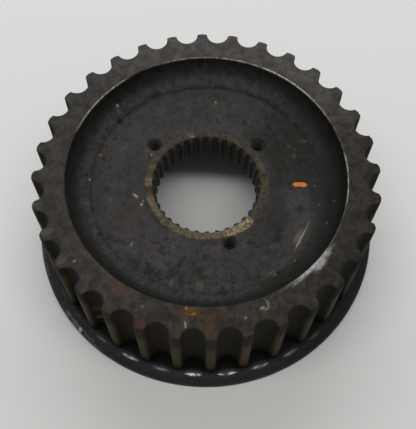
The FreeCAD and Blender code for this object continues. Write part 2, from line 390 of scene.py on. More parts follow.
def groove_outline(sizes):
    """(angle, radius) points from the middle of one belt groove to the middle of the next."""
    tip = tip_radius(sizes)
    corner = sizes.tooth_corner
    centre = tip - sizes.groove_depth + sizes.groove_radius
    reach, corner_track = sizes.groove_radius + corner, tip - corner
    corner_along = (corner_track ** 2 + centre ** 2 - reach ** 2) / (2 * centre)
    corner_across = math.sqrt(corner_track ** 2 - corner_along ** 2)
    flank = math.atan2(corner_across, centre - corner_along)
    corner_end = math.atan2(corner_across, corner_along)
    points = [(centre - sizes.groove_radius, 0.0)]
    for turn in steps_between(0, flank, 7):
        points.append((centre - sizes.groove_radius * math.cos(turn), sizes.groove_radius * math.sin(turn)))
    for turn in steps_between(-flank, corner_end, 5):
        points.append((corner_along + corner * math.cos(turn), corner_across + corner * math.sin(turn)))
    half_pitch = math.pi / sizes.teeth
    half = [(math.atan2(across, along), math.hypot(along, across)) for along, across in points]
    half.append((half_pitch, tip))
    return half + [(2 * half_pitch - angle, radius) for angle, radius in reversed(half[:-1])]


def make_rim(sizes, finish):
    """The toothed rim: its two recesses, the tooth grooves and the lip staked over the flange."""
    tip = tip_radius(sizes)
    root = tip - sizes.groove_depth
    joint, front, seat = hub_high.x, rim_high.z, flange_high.z
    web_front, web_back = hub_high.z, hub_high.z - sizes.web
    recess, rear = joint + sizes.cove, root - sizes.rear_wall
    spigot, lip_back = root - sizes.spigot_step, rim_low.z
    face = recess + sizes.lip_chamfer
    cove_top = front - sizes.lip_chamfer - sizes.lip_land
    weld_edge, weld_root = weld_high.x, weld_high.z

    section = Section("toothed_rim_steel", joint, web_front)
    section.arc(joint, cove_top, math.pi / 2, 14)
    section.line((recess, front - sizes.lip_chamfer), (face, front))
    section.line(*((radius, front) for radius in steps_between(face, spigot + sizes.flare, 3)))
    section.line((root, front), (root, front - sizes.tooth_chamfer))
    section.line(*((root, height) for height in steps_between(front - sizes.tooth_chamfer, seat, 12)))
    section.line((spigot, seat), (spigot, seat - sizes.flare))
    section.line((spigot + sizes.flare, seat - 2 * sizes.flare))
    section.line((spigot + sizes.flare, lip_back + sizes.flare), (spigot, lip_back))
    section.line(*((radius, lip_back) for radius in steps_between(spigot, rear, 6)))
    section.line(*((rear, height) for height in steps_between(lip_back, web_back - sizes.rear_fillet, 4)))
    section.arc(rear - sizes.rear_fillet, web_back - sizes.rear_fillet, math.pi / 2, 6)
    section.line((weld_edge, web_back), (joint, weld_root), (joint, web_front))

    in_teeth = (spigot + sizes.flare + root) / 2
    chamfered = front - sizes.tooth_chamfer / 2
    sweep_sector(section.piece, groove_outline(sizes), [
        (lambda place: away_from_axle(place) > in_teeth and place[2] < chamfered, tip),
        (lambda place: away_from_axle(place) > in_teeth and place[2] > chamfered,
         tip - sizes.tooth_chamfer)])
    copy_round(sizes.teeth)
    stake_lip(section.piece, sizes, spigot, lip_back)
    bpy.ops.object.mode_set(mode="OBJECT")
    ease_edges(section.piece, sizes.eased, joint)
    roughen(section.piece, sizes.unevenness, sizes.patch)
    hand_over(section.piece, "toothed_rim", finish)


def stake_lip(piece, sizes, radius, lip_back):
    """Dents the rolled lip where a punch spread it over the flange."""
    for stake in range(sizes.stakes):
        angle = FULL_TURN * stake / sizes.stakes
        centre = Vector((radius * math.cos(angle), radius * math.sin(angle), lip_back))
        select_where(piece, lambda place: (place - centre).length < sizes.stake_reach / 2)
        bpy.ops.transform.translate(
            value=(0, 0, sizes.stake_depth), use_proportional_edit=True, proportional_edit_falloff="SMOOTH",
            proportional_size=sizes.stake_reach)


def spline_outline(sizes, land_radius):
    """(angle, radius) points from the middle of one spline space to the middle of the next."""
    floor = land_radius + sizes.spline_depth
    floor_edge = math.asin(sizes.space_floor / 2 / floor)
    land_edge = math.asin(sizes.space_mouth / 2 / land_radius)
    half_pitch = math.pi / sizes.splines
    # a straight flank, with a small corner at the floor and at the land
    half = [(0.0, floor), (floor_edge * 0.6, floor), (floor_edge, floor - 0.1 * sizes.spline_depth)]
    half += [((floor_edge + land_edge) / 2, (floor + land_radius) / 2)]
    half += [(land_edge, land_radius + 0.07 * sizes.spline_depth), (land_edge * 1.12, land_radius)]
    half.append((half_pitch, land_radius))
    return half + [(2 * half_pitch - angle, radius) for angle, radius in reversed(half[:-1])]


def make_hub(sizes, finish):
    """The splined hub: the inner web, its boss behind, the spline and three tapped holes."""
    land = mounts["splined_shaft"]["dims"]["r_mm"] * MM
    floor, mouth = land + sizes.spline_depth, land + sizes.bore_chamfer
    outside, web_front, boss_back = hub_high.x, hub_high.z, hub_low.z
    web_back = boss_back + sizes.boss_height
    chamfer_left = mouth - floor

    section = Section("splined_hub_steel", mouth, web_front)
    section.line(*((radius, web_front) for radius in steps_between(mouth, outside, 12)))
    groove_top = web_back + sizes.weld_groove
    section.line(*((outside, height) for height in steps_between(web_front, groove_top, 2)))
    section.line((outside - sizes.weld_groove, web_back))
    section.line(*((radius, web_back) for radius in steps_between(section.radius, sizes.boss_radius, 4)))
    section.line((sizes.boss_radius, boss_back + sizes.boss_chamfer))
    section.line((sizes.boss_radius - sizes.boss_chamfer, boss_back))
    section.line(*((radius, boss_back) for radius in steps_between(section.radius, mouth, 4)))
    section.line((floor, boss_back + chamfer_left))
    low, high = boss_back + sizes.bore_chamfer, web_front - sizes.bore_chamfer
    section.line((floor, low), *((floor, height) for height in steps_between(low, high, 6)))
    section.line((floor, web_front - chamfer_left), (mouth, web_front))

    def in_spline(place):
        return away_from_axle(place) < floor + JOIN_GAP and low - JOIN_GAP < place[2] < high + JOIN_GAP

    sweep_sector(section.piece, spline_outline(sizes, land), [(in_spline, floor)])
    copy_round(sizes.splines)
    bpy.ops.object.mode_set(mode="OBJECT")
    section.piece.rotation_euler.z = sizes.spline_turn
    bpy.ops.object.transform_apply(rotation=True)
    ease_edges(section.piece, sizes.eased, outside)
    for screw in lock_screws:
        cut_tapped_hole(section.piece, sizes, screw)
    hand_over(section.piece, "splined_hub", finish)


def cut_tapped_hole(piece, sizes, screw):
    """Cuts one tapped hole, with its countersink, threads and drilled point."""
    bore = screw["dims"]["r_mm"] * MM
    mouth_low, mouth_high = hub_high.z - sizes.tap_chamfer, hub_high.z + sizes.tap_chamfer
    bottom = mouth_low - screw["dims"]["length_mm"] * MM
    section = Section("tap", JOIN_GAP, bottom - bore / 2)
    section.line((bore, bottom))
    height = bottom
    # a thread's groove takes the middle of its pitch, between two narrow flats
    while height + sizes.thread_pitch < mouth_low:
        section.line((bore, height + sizes.thread_pitch * 0.15))
        section.line((bore + sizes.thread_depth, height + sizes.thread_pitch * 0.5))
        section.line((bore, height + sizes.thread_pitch * 0.85))
        height += sizes.thread_pitch
    section.line((bore, mouth_low), (bore + sizes.tap_chamfer * 2, mouth_high))
    section.line((JOIN_GAP, mouth_high), (JOIN_GAP, bottom - bore / 2))
    revolve(TAP_STEPS)
    bpy.ops.object.mode_set(mode="OBJECT")
    cutter = section.piece
    cutter.location = (screw["pos_m"][0], screw["pos_m"][1], 0)
    bpy.ops.object.select_all(action="DESELECT")
    piece.select_set(True)
    bpy.context.view_layer.objects.active = piece
    modify(piece, "BOOLEAN", object=cutter, operation="DIFFERENCE", solver="EXACT")
    bpy.data.objects.remove(cutter)


def make_weld(sizes, finish):
    """The weld bead that joins hub and rim behind the web, one ripple modelled and repeated."""
    inner, outer = weld_high.x - 2 * sizes.leg, weld_high.x
    middle, face = (inner + outer) / 2, weld_high.z - sizes.leg
    half_angle = math.asin(sizes.leg / sizes.crown)
    section = Section("hub_weld_bead", inner, face)
    section.arc(middle, face + sizes.crown * math.cos(half_angle), 2 * half_angle, 8)
    section.line((middle, weld_high.z), (inner, face))
    piece, ripple = section.piece, FULL_TURN / sizes.ripples
    crown = face - 0.2 * sizes.leg
    # a ripple sinks bit by bit, and the next one stands up again
    sunk = (0.45, 0.8, 1.0)
    spin_all(len(sunk) + 1, ripple)
    for step, share in enumerate(sunk, 1):
        angle = ripple * step / (len(sunk) + 1)
        select_where(piece, lambda place: at_angle(place, angle) and place[2] < crown)
        bpy.ops.transform.translate(value=(0, 0, share * sizes.ripple_height))
    copy_round(sizes.ripples)
    bpy.ops.object.mode_set(mode="OBJECT")
    roughen(piece, sizes.unevenness, sizes.patch)
    hand_over(piece, "hub_weld", finish)


def make_flange(rim, sizes, finish):
    """The pressed guide flange: a flat ring that bends down into a short skirt."""
    seat = tip_radius(rim) - rim.groove_depth - rim.spigot_step
    edge, top = flange_high.x, flange_high.z
    bend_start, under = edge - sizes.bend, top - sizes.thickness
    section = Section("rear_flange_sheet", seat, top)
    section.line(*((radius, top) for radius in steps_between(seat, bend_start, 5)))
    section.arc(bend_start, top - sizes.bend, -math.pi / 2, 12)
    section.line((edge, 0), (edge - sizes.thickness, 0), (edge - sizes.thickness, top - sizes.bend))
    section.arc(bend_start, top - sizes.bend, math.pi / 2, 6)
    section.line(*((radius, under) for radius in steps_between(bend_start, seat + rim.flare, 3)))
    section.line((seat, under + rim.flare), (seat, top))
    revolve(FLANGE_STEPS)
    bpy.ops.object.mode_set(mode="OBJECT")
    ease_edges(section.piece, sizes.eased)
    roughen(section.piece, sizes.unevenness, sizes.patch)
    bpy.ops.object.mode_set(mode="EDIT")
    select_where(section.piece, lambda place: place[2] < sizes.unevenness)
    bpy.ops.transform.resize(value=(1, 1, 0), center_override=(0, 0, 0))
    bpy.ops.object.mode_set(mode="OBJECT")
    hand_over(section.piece, "rear_flange", finish)


# ---------------------------------------------------------------- finishes

class Wire:
    """A number on its way through a material. Python's operators on it add Math nodes."""

    def __init__(self, nodes, socket):
        self.nodes, self.socket = nodes, socket

    def _join(self, operation, *values):
        """Adds a Math node over these values."""
        return self.nodes.node("Math", {"operation": operation}, dict(enumerate(values)))

    def __add__(self, other):
        return self._join("ADD", self, other)

    def __sub__(self, other):
        return self._join("SUBTRACT", self, other)

    def __rsub__(self, other):
        return self._join("SUBTRACT", other, self)

    def __mul__(self, other):
        return self._join("MULTIPLY", self, other)

    def __pow__(self, other):
        return self._join("POWER", self, other)

    def __round__(self):
        return self._join("ROUND", self)

    def __abs__(self):
        return self._join("ABSOLUTE", self)

    def __or__(self, other):
        """The larger of two masks."""
        return self._join("MAXIMUM", self, other)

    __radd__, __rmul__ = __add__, __mul__


class Nodes:
    """The shader nodes of a material or of the world."""

    def __init__(self, owner):
        owner.use_nodes = True
        self.tree = owner.node_tree
        self.tree.nodes.clear()

    def node(self, kind, settings, inputs, output=0):
        """Adds a node with its settings and its inputs, values or wires, and gives one of its outputs."""
        made = self.tree.nodes.new(f"ShaderNode{kind}")
        for name, value in settings.items():
            setattr(made, name, value)
        for name, value in inputs.items():
            if isinstance(value, Wire):
                self.tree.links.new(value.socket, made.inputs[name])
            else:
                made.inputs[name].default_value = value
        return Wire(self, made.outputs[output]) if made.outputs else None

    def step(self, value, off, on):
        """0 up to off, 1 from on, and smooth between them. On may be the lower one."""
        return self.node("MapRange", {"interpolation_type": "SMOOTHSTEP"}, {0: value, 1: off, 2: on})

    def backdrop(self, emitter, colour, share, shader):
        """Shows a plain colour to the camera and in reflections, and lights the rest as the shader does."""
        seen = self.node("LightPath", {}, {}, "Is Camera Ray")
        for ray in ("Is Glossy Ray", "Is Transmission Ray"):
            seen = seen | self.node("LightPath", {}, {}, ray)
        plain = self.node(emitter, {}, {"Color": with_alpha(colour), "Strength": 1})
        return self.node("MixShader", {}, {0: seen * share, 1: shader, 2: plain})


class Finish(Nodes):
    """A steel finish under way, laid on in layers. Places and sizes are in millimetres from the axle."""

    def __init__(self, name, colour, rough, metal):
        self.material = bpy.data.materials.new(name)
        super().__init__(self.material)
        metres = self.node("TexCoord", {}, {}, "Object")
        self.place = self.node("VectorMath", {"operation": "SCALE"}, {0: metres, "Scale": 1 / MM})
        self.x = self.node("SeparateXYZ", {}, {0: self.place}, "X")
        self.y = self.node("SeparateXYZ", {}, {0: self.place}, "Y")
        self.z = self.node("SeparateXYZ", {}, {0: self.place}, "Z")
        self.flat = self.node("VectorMath", {"operation": "MULTIPLY"}, {0: self.place, 1: (1, 1, 0)})
        self.radius = self.node("VectorMath", {"operation": "LENGTH"}, {0: self.flat}, "Value")
        self.heading = self.node("VectorMath", {"operation": "NORMALIZE"}, {0: self.flat})
        self.rag = self.grain(1.1, detail=3) - 0.5
        self.colour, self.rough, self.metal, self.height = colour, rough, metal, None

    def grain(self, size, detail=2, seed=0, rough=0.5):
        """Cloudy noise from 0 to 1 with spots of about the given size."""
        return self.node(
            "TexNoise", {"noise_dimensions": "4D"},
            {"Vector": self.place, "W": seed, "Scale": 1 / size, "Detail": detail, "Roughness": rough})

    def blobs(self, size, above, soft=0.05, **noise):
        """Ragged blobs of about the given size, where cloudy noise stands above a level."""
        return self.step(self.grain(size, **noise), above, above + soft)

    def band(self, value, low, high, soft):
        """1 between low and high, with soft ends."""
        return self.step(value, low - soft, low + soft) * self.step(value, high + soft, high - soft)

    def around(self, start, end, soft):
        """1 between two angles in degrees, seen from the axle, with soft ends."""
        middle, half = (start + end) / 2 * DEG, (end - start) / 2
        toward = (math.cos(middle), math.sin(middle), 0)
        facing = self.node(
            "VectorMath", {"operation": "DOT_PRODUCT"}, {0: self.heading, 1: toward}, "Value")
        off, on = min(180, half + soft), max(0, half - soft)
        return self.step(facing, math.cos(off * DEG), math.cos(on * DEG))

    def arcs(self, *arcs):
        """The largest level of the arcs, each given as (start, end, soft, level)."""
        return largest(self.around(start, end, soft) * level for start, end, soft, level in arcs)

    def spot(self, radius, angle, out, along, height, ragged, soft, turn=0, deep=2.5):
        """1 in a ragged patch, with half sizes outwards from the axle, along the circle and in depth."""
        middle = angle * DEG
        centre = (radius * math.cos(middle), radius * math.sin(middle), height)
        local = self.node("Mapping", {"vector_type": "TEXTURE"}, {
            "Vector": self.place, "Location": centre, "Rotation": (0, 0, middle + turn * DEG),
            "Scale": (SPOT_REACH * out, SPOT_REACH * along, SPOT_REACH * deep)})
        near = self.node("TexGradient", {"gradient_type": "SPHERICAL"}, {0: local}, "Fac")
        edge, fade = 1 - 1 / SPOT_REACH, soft / SPOT_REACH
        return self.step(near - self.rag * (2 * ragged / SPOT_REACH), edge - fade, edge + fade)

    def mix(self, share, first, second, clamped=True):
        """A colour between two colours, or past them where the share isn't clamped."""
        return self.node(
            "Mix", {"data_type": "RGBA", "clamp_factor": clamped},
            {0: share, FIRST_COLOUR: with_alpha(first), SECOND_COLOUR: with_alpha(second)}, MIXED_COLOUR)

    def layer(self, mask, colour=None, rough=None, metal=None, height=None):
        """Lays a colour, roughness, metalness or height over what is there, where the mask is 1."""
        if colour is not None:
            self.colour = self.mix(mask, self.colour, colour)
        if rough is not None:
            self.rough = mask * (rough - self.rough) + self.rough
        if metal is not None:
            self.metal = mask * (metal - self.metal) + self.metal
        if height is not None:
            raised = mask * height
            self.height = raised if self.height is None else self.height + raised

    def shade(self, factor):
        """Multiplies the colour by a number that varies over the surface."""
        self.colour = self.mix(factor, BLACK, self.colour, clamped=False)

    def done(self, gloss=0.12):
        """Joins the layers to the shader and gives the material."""
        normal = self.node("Bump", {}, {"Height": self.height, "Distance": RELIEF, "Strength": 1})
        shader = self.node("BsdfPrincipled", {}, {
            "Base Color": self.colour, "Roughness": self.rough, "Metallic": self.metal, "Normal": normal,
            "Specular IOR Level": gloss})
        self.node("OutputMaterial", {}, {"Surface": shader})
        return self.material


def largest(masks):
    """The largest of several masks."""
    return reduce(or_, masks)


def with_alpha(colour):
    """A colour as a node takes it: a wire as it is, and red, green and blue with an alpha of 1."""
    return colour if isinstance(colour, Wire) else (*colour, 1)


def tinted(colour, *factors):
    """A colour with its red, green and blue multiplied."""
    return tuple(part * factor for part, factor in zip(colour, factors))


def joint_dirt(finish, grime_and_shade):
    """Dirt in the joint between hub and rim, thickest on one side, with a few large clots."""
    away = abs(finish.radius - JOINT + 0.2) + finish.rag * 1.2
    uneven = 0.4 + finish.blobs(4, 0.36, 0.26, seed=43) * 0.9
    dirt = finish.step(away, 1.2, 0.1) * uneven * (0.14 + finish.around(20, 225, 20) * 0.33)
    for radius, angle, out, along, strength in (
            (47.6, 145.2, 1.3, 1.5, 0.9), (48.7, 120.6, 1.7, 2.0, 0.6), (47.6, 139.5, 0.7, 0.9, 0.7),
            (47.4, 163, 0.9, 2.4, 0.5), (47.5, 134, 1.0, 2.6, 0.35), (46.4, 216.5, 2.0, 0.7, 0.7),
            (48.2, 212.5, 0.7, 1.0, 0.7)):
        dirt = dirt | finish.spot(radius, angle, out, along, HUB_FRONT, 0.6, 0.5) * strength
    finish.layer(dirt, grime_and_shade, rough=0.65)


def rim_finish(sizes, colours):
    """Dark grey brown steel, oily black in the hollows, olive where the belt runs, rusty at the bottom,
    with painted light and shade on some sides.
    """
    rim, hub, grime_and_shade = colours.rim, colours.hub, colours.grime_and_shade
    lip, tip = JOINT + sizes.cove / MM, tip_radius(sizes) / MM
    steel = Finish("rim_steel", rim, 0.58, 0.3)
    broad, patchy = steel.grain(11, detail=4, rough=0.6), steel.grain(3.2, detail=3, seed=12, rough=0.6)
    fine = steel.grain(0.9, detail=4, seed=3, rough=0.7)

    # browner and darker towards the near side: partly a brown stain, partly painted shade
    low_side = steel.step(steel.y + broad * 50, 45, -40)
    steel.layer(low_side * 0.8, tinted(rim, 0.84, 0.8, 0.68))
    steel.layer(steel.step(broad, 0.42, 0.62) * 0.6, tinted(rim, 0.8, 0.9, 0.86), rough=0.5)
    steel.layer(steel.step(patchy, 0.5, 0.64) * low_side * 0.5, tinted(rim, 1.12, 0.96, 0.76))

    # the recess is as oily as the hub, and the rest is browner; the front face has painted light on its
    # upper and left sides and painted shade on its right side
    within = steel.step(steel.radius, lip + 0.2, lip - 0.1)
    recess = within * steel.step(steel.z, RIM_FRONT - 18, RIM_FRONT - 14)
    steel.layer(recess * 0.9, tinted(hub, 0.95, 0.95, 0.95), rough=0.6)
    face = 1 - recess
    steel.layer(face * steel.blobs(6, 0.46, 0.16, detail=3, seed=51) * 0.5, tinted(rim, 1.3, 1.0, 0.84))
    steel.layer(face * steel.blobs(5, 0.52, 0.12, detail=3, seed=53) * 0.5, tinted(rim, 0.98, 1.06, 1.1))
    # painted light on the upper and left sides of the front face, painted shade on its right side
    painted_light_by_side = steel.arcs((40, 126, 26, 0.74), (140, 248, 20, 0.16))
    steel.shade(1 + face * (painted_light_by_side - steel.around(325, 375, 18) * 0.16 - 0.02))
    steel.shade(0.75 + steel.step(patchy, 0.34, 0.66) * 0.56)
    steel.shade(0.3 + fine * 1.4)
    steel.layer(fine, height=0.7)
    steel.layer(steel.blobs(1.2, 0.66, seed=31) * 0.6, tinted(grime_and_shade, 1.3, 1.2, 1.2), height=-1.4)

    soil_and_shade_recess(steel, colours, recess)
    joint_dirt(steel, grime_and_shade)

    # the rear recess is browner still, with rust
    rear = within - recess
    steel.layer(rear * (0.3 + patchy * 0.6), tinted(rim, 1.5, 1.2, 0.95), rough=0.65)
    steel.layer(rear * steel.step(broad, 0.5, 0.66) * 0.4, tinted(colours.rust, 0.36, 0.4, 0.45))
    outside = steel.step(steel.radius, lip + 3, lip + 4)
    outside = outside * steel.step(steel.z, RIM_FRONT - 0.7, RIM_FRONT - 1.3)
    soil_teeth(steel, colours, outside, fine, tip)
    wear_and_glint_lip(steel, colours, lip)
    rust_rim(steel, colours)
    fleck_recess(steel, colours)
    return steel.done(gloss=0.06)


def soil_and_shade_recess(steel, colours, recess):
    """Makes the recess as oily as the hub, and darker up its wall, with painted shade on its right side and
    a lighter cove on its upper side.
    """
    rim, hub, grime_and_shade = colours.rim, colours.hub, colours.grime_and_shade
    # darker towards the wall of the recess, less so on its upper side
    toward_wall = steel.step(steel.radius + steel.rag * 1.5, JOINT + 2.6, JOINT + 6.6)
    # painted shade: the recess darker on its right side
    steel.layer(recess * steel.around(-12, 50, 16) * 0.5, tinted(hub, 0.42, 0.42, 0.42))
    oily_side = steel.around(215, 350, 14) * steel.step(steel.radius, JOINT + 1.5, JOINT + 5)
    steel.layer(recess * oily_side * 0.5, grime_and_shade)
    steel.layer(recess * toward_wall * (0.5 - steel.around(30, 112, 16) * 0.26), tinted(grime_and_shade, 1.4, 1.4, 1.5))
    mouth = recess * steel.step(steel.z, RIM_FRONT - 2.6, RIM_FRONT - 0.6)
    steel.layer(mouth * 0.5, tinted(rim, 0.8, 0.8, 0.78))
    murky = steel.around(297, 377, 10) * steel.band(steel.radius, JOINT + 0.6, JOINT + 5, 1.2)
    steel.layer(recess * murky * 0.55, tinted(grime_and_shade, 1.4, 1.4, 1.5))
    # the cove lighter on its upper side
    lighter_upper_cove = steel.around(50, 158, 14) * steel.band(steel.radius, JOINT + 1.8, JOINT + 6.2, 1.2)
    steel.shade(1 + recess * lighter_upper_cove * 0.34)
    crowded = 0.66 - steel.around(225, 320, 14) * 0.08
    specks = steel.blobs(1.4, crowded, seed=37) | steel.blobs(3, crowded, 0.1, seed=39)
    steel.layer(recess * specks * 0.55, grime_and_shade, height=-1)


def soil_teeth(steel, colours, outside, fine, tip):
    """Cakes the grooves black and polishes the tooth lands where the belt runs, with painted shade in the
    grooves on the left and on the lands on the right, and partly painted shade beside the flange.
    """
    rim, grime_and_shade, olive, rust = colours.rim, colours.grime_and_shade, colours.olive, colours.rust
    steel.layer(outside * 0.95, tinted(grime_and_shade, 3.2, 2.85, 1.95), rough=0.7, metal=0.0)
    # painted shade: the grooves darker on the left side
    steel.layer(outside * steel.around(165, 240, 8) * 0.6, tinted(grime_and_shade, 0.6, 0.5, 0.3))
    land = steel.step(steel.radius, tip - 2.4, tip - 0.6) * outside
    steel.layer(land * 0.75, tinted(grime_and_shade, 3.7, 3.2, 1.9))
    belt_run = steel.z + steel.rag * 9 + steel.grain(5, seed=8) * 6
    belt_run = steel.step(belt_run, RIM_FRONT - 5, RIM_FRONT - 11)
    steel.layer(land * belt_run * (0.45 + fine * 0.9), olive, rough=0.5, metal=0.15)
    steel.layer(land * steel.around(284, 306, 3) * belt_run * 0.35, tinted(rust, 0.42, 0.6, 0.5))
    # painted shade: the tooth lands darker on the lower right side
    steel.layer(land * steel.around(296, 350, 10) * 0.45, tinted(grime_and_shade, 1.8, 1.8, 1.0))
    land_end = land * steel.step(steel.z, RIM_FRONT - 2.0, RIM_FRONT - 1.2)
    steel.layer(land_end * 0.4, tinted(rim, 1.4, 1.3, 1.1), metal=0.4)
    for radius, angle, out, along, height, deep, colour, strength in (
            (69.0, 221.4, 1.6, 1.2, 37, 5, tinted(rust, 0.62, 0.7, 0.6), 0.5),
            (69.4, 219.9, 1.6, 1.6, 25, 10, tinted(olive, 1.5, 1.5, 1.2), 0.6),
            (69.8, 229.4, 1.2, 0.7, 26, 17, tinted(olive, 2.2, 2.3, 1.9), 0.6),
            (69.6, 240.8, 1.3, 0.9, 24, 8, tinted(olive, 2.3, 2.5, 2.0), 0.6),
            (69.6, 252.0, 1.2, 0.8, 27, 12, tinted(olive, 1.6, 1.7, 1.4), 0.4),
            (66.0, 233.2, 1.8, 1.9, 18.5, 1.8, tinted(olive, 4.0, 4.2, 4.0), 0.6),
            (65.2, 234.6, 1.2, 1.2, 12.5, 1.4, tinted(olive, 3.4, 3.2, 2.6), 0.5)):
        smear = steel.spot(radius, angle, out, along, height, 0.7, 0.5, 0, deep)
        steel.layer(outside * smear * strength, colour, rough=0.7)
    curl = steel.spot(66.2, 233.3, 2.0, 1.4, 28.5, 0.3, 0.4, 0, 2.2)
    curl = curl * (1 - steel.spot(66.2, 233.3, 2.2, 0.6, 28.5, 0.3, 0.4, 0, 1.1))
    steel.layer(outside * curl * 0.42, tinted(olive, 4.2, 4.4, 5.0))
    # the grooves darker near the flange: partly caked dirt, partly painted shade
    beside_flange = steel.step(steel.z, 17, 7)
    steel.layer(outside * beside_flange * 0.92, tinted(grime_and_shade, 0.5, 0.5, 0.5))


def wear_and_glint_lip(steel, colours, lip):
    """Wears the mouth of the recess to a thin bright line, whose brightness round the mouth is partly a
    painted glint, with a bright crescent at one place.
    """
    worn_and_glint = colours.worn_and_glint
    line = steel.band(steel.radius, lip, lip + 0.42, 0.14)
    line = line * steel.step(steel.z, RIM_FRONT - 1.2, RIM_FRONT - 0.7)
    # how bright the line is round the mouth is partly a painted glint
    level = steel.arcs(
        (132, 163, 3, 0.85), (66, 88, 5, 0.62), (86, 113, 6, 0.42), (43, 68, 5, 1.25), (30, 44, 4, 0.68),
        (-11, 13, 3, 0.95), (13, 30, 3, 0.2), (308, 328, 3, 0.6), (328, 350, 3, 0.22))
    nicked = 0.4 + steel.blobs(1.7, 0.38, 0.22, detail=4, seed=5, rough=0.7) * 1.05
    steel.layer(line * level * nicked, tinted(worn_and_glint, 1.1, 1.1, 0.9), rough=0.4, metal=0.8)
    scour = 0.45 + steel.blobs(1.1, 0.36, 0.26, detail=3, seed=16) * 0.55
    patch = largest((
        steel.spot(56.8, 319.6, 0.95, 8.8, RIM_FRONT, 0.3, 0.6),
        steel.spot(57.8, 321.4, 1.8, 3.4, RIM_FRONT, 0.55, 0.6) * 0.72,
        steel.spot(57.7, 326.8, 1.4, 1.6, RIM_FRONT, 0.6, 0.5) * 0.5))
    steel.layer(patch * scour, tinted(worn_and_glint, 1.2, 1.2, 1.25), rough=0.5, metal=0.35)
    faint = steel.spot(57.0, 308, 0.6, 6, RIM_FRONT, 0.8, 0.6)
    steel.layer(faint * 0.16, tinted(worn_and_glint, 0.8, 0.8, 0.7), metal=0.3)


def rust_rim(steel, colours):
    """Rust stains on the RIM_FRONT face, from red brown to fresh orange, and pale flecks."""
    worn_and_glint, rust = colours.worn_and_glint, colours.rust
    crust = 0.35 + steel.blobs(1.0, 0.4, 0.22, detail=3, seed=19, rough=0.7) * 0.65
    for radius, angle, out, along, strength, tint in (
            (63.5, 275.6, 4.2, 2.6, 0.55, (0.5, 0.52, 0.62)),
            (59.5, 277, 2.2, 3.5, 0.35, (0.45, 0.45, 0.5)),
            (58.9, 268.5, 2.1, 2.6, 0.95, (0.8, 0.86, 0.7)),
            (58.5, 238.8, 1.3, 4.2, 0.6, (0.6, 0.66, 0.7)),
            (68.2, 241.7, 2.2, 1.6, 0.6, (0.5, 0.46, 0.6)),
            (68.2, 252.8, 2.2, 1.6, 0.6, (0.52, 0.44, 0.55)),
            (67.5, 264, 2.2, 1.4, 0.4, (0.4, 0.4, 0.45)), (62, 189, 3, 2.6, 0.3, (0.3, 0.5, 0.5)),
            (59.5, 229.5, 1.6, 2, 0.4, (0.28, 0.3, 0.35)), (58.5, 352.5, 1.3, 0.6, 0.4, (0.6, 0.55, 0.7))):
        blotch = steel.spot(radius, angle, out, along, RIM_FRONT, 1.2, 0.7)
        steel.layer(blotch * crust * strength, tinted(rust, *tint), rough=0.75, metal=0.0, height=0.8)
    yellow, pale = tinted(worn_and_glint, 0.8, 0.66, 0.3), tinted(worn_and_glint, 0.62, 0.6, 0.42)
    hook = steel.spot(59.3, 295.0, 2.3, 2.0, RIM_FRONT, 0.5, 0.15)
    hook = hook * (1 - steel.spot(58.8, 294.4, 2.3, 1.9, RIM_FRONT, 0.5, 0.2))
    steel.layer(hook * 0.6, pale, rough=0.6)
    for radius, angle, out, along, turn, colour, strength in (
            (62.8, 221.8, 0.7, 0.5, 0, yellow, 0.5), (63.5, 267.2, 1.4, 0.4, 12, yellow, 0.8),
            (57.4, 266.8, 0.6, 0.5, 0, yellow, 0.6), (59.2, 269.6, 0.5, 0.8, 20, yellow, 0.4),
            (61.0, 251.5, 0.7, 0.5, -30, yellow, 0.3), (62.3, 287.4, 0.5, 0.6, 0, pale, 0.6),
            (60.4, 294.0, 0.5, 0.9, 8, pale, 0.9),
            (66.5, 207.5, 2.8, 1.5, 10, tinted(worn_and_glint, 0.6, 0.6, 0.61), 0.15),
            (67.0, 219.3, 2.2, 1.2, 0, tinted(worn_and_glint, 0.6, 0.6, 0.62), 0.16),
            (67.6, 196.5, 2.0, 1.0, 0, tinted(worn_and_glint, 0.6, 0.6, 0.6), 0.13)):
        fleck = steel.spot(radius, angle, out, along, RIM_FRONT, 0.5, 0.35, turn)
        steel.layer(fleck * strength, colour)


def fleck_recess(steel, colours):
    """Scratches, flecks and clots of dirt on the curved wall of the recess."""
    worn_and_glint, grime_and_shade = colours.worn_and_glint, colours.grime_and_shade
    blue, tan = tinted(worn_and_glint, 0.5, 0.55, 0.85), tinted(worn_and_glint, 0.95, 0.8, 0.5)
    for radius, angle, out, along, height, colour, strength in (
            (47.9, 182.3, 0.45, 0.45, 40.2, worn_and_glint, 0.5), (49.0, 90.7, 0.5, 0.5, 40.3, worn_and_glint, 0.13),
            (52.9, 140.3, 0.55, 0.6, 42.1, worn_and_glint, 0.6), (51.3, 141.6, 1.0, 0.4, 41.1, blue, 0.16),
            (49.9, 141.2, 0.6, 0.4, 40.6, blue, 0.14), (48.1, 307.5, 0.6, 0.9, 40.2, tan, 0.16),
            (48.7, 319.4, 0.4, 0.6, 40.3, tan, 0.22), (51.4, 343.2, 0.4, 0.5, 41.1, tan, 0.25),
            (52.4, 354.4, 0.4, 0.5, 41.7, tan, 0.22), (52.3, 156.2, 1.7, 0.5, 41.6, grime_and_shade, 0.7),
            (49.4, 152.6, 0.6, 0.6, 40.4, grime_and_shade, 0.6), (49.3, 179.6, 0.7, 0.7, 40.4, grime_and_shade, 0.7),
            (50.6, 110.5, 1.8, 0.6, 40.7, grime_and_shade, 0.4), (49.0, 195, 1.0, 0.9, 40.4, tan, 0.06)):
        steel.layer(steel.spot(radius, angle, out, along, height, 0.4, 0.4) * strength, colour)


